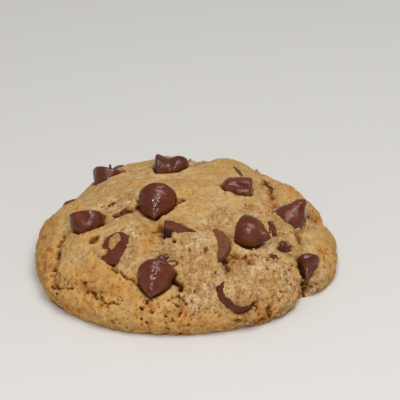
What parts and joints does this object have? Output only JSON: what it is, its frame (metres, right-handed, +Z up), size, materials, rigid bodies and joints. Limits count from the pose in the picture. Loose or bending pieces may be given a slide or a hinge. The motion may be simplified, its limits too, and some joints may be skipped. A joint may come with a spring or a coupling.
{
  "type": "chocolate chip cookie",
  "caption": "Round domed chocolate chip cookie with a cracked, lobed crust, a flat underside and chocolate chips set into its top and sides.",
  "frame": {"origin": "middle of the flat underside, on the surface the cookie rests on", "axes": "+Z up through the domed top, +X along the cookie's longest width, with the notched lobe at +X and -Y"},
  "size_m": [0.0863, 0.082, 0.0259],
  "materials": {
    "dough": "baked cookie crust, dry and matte, golden beige with browner rim and paler crumb",
    "chocolate": "dark brown chocolate, satin"
  },
  "bodies": {
    "root": {"dough": "dough", "chip_back_edge": "chocolate", "chip_left_back": "chocolate", "chip_left": "chocolate", "chip_middle": "chocolate", "chip_front": "chocolate", "chip_left_front": "chocolate", "chip_ridge": "chocolate", "chip_right_middle": "chocolate", "chip_right": "chocolate", "chip_crease": "chocolate", "chip_crescent": "chocolate", "chip_wedge": "chocolate", "chip_knob": "chocolate", "chip_small": "chocolate", "chip_back_left": "chocolate", "chip_back_middle": "chocolate", "chip_back_right": "chocolate", "chip_back_low": "chocolate"}
  },
  "joints": []
}
